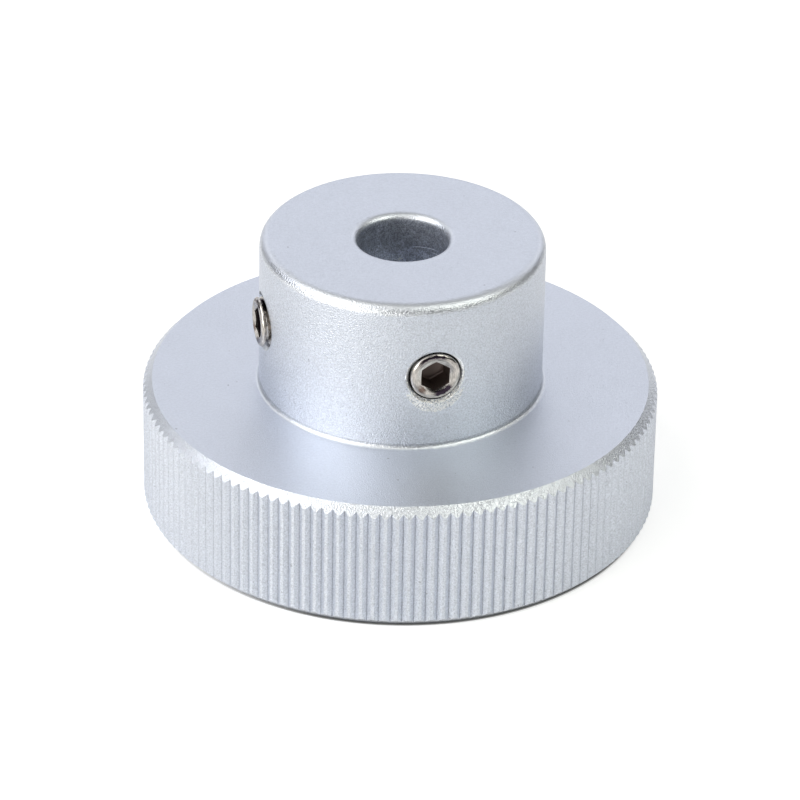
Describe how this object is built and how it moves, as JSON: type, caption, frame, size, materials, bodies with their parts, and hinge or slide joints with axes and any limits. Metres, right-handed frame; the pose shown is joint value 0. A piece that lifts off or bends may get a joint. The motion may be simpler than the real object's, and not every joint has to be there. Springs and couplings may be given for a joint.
{
  "type": "knurled handwheel",
  "caption": "Knurled handwheel with a plain raised hub, a through bore for a shaft and radial set screws that lock it there.",
  "frame": {"origin": "centre of the wheel's flat underside, on the bore axis", "axes": "+Z along the bore towards the hub; the front set screw points along -Y and the side set screw along -X"},
  "size_m": [0.06, 0.06, 0.0341],
  "materials": {
    "anodised_aluminium": "bead-blasted and clear anodised, matt with a fine sparkle",
    "plated_steel": "bright nickel plate"
  },
  "bodies": {
    "root": {"handwheel": "anodised_aluminium", "set_screw_front": "plated_steel", "set_screw_side": "plated_steel"}
  },
  "joints": []
}
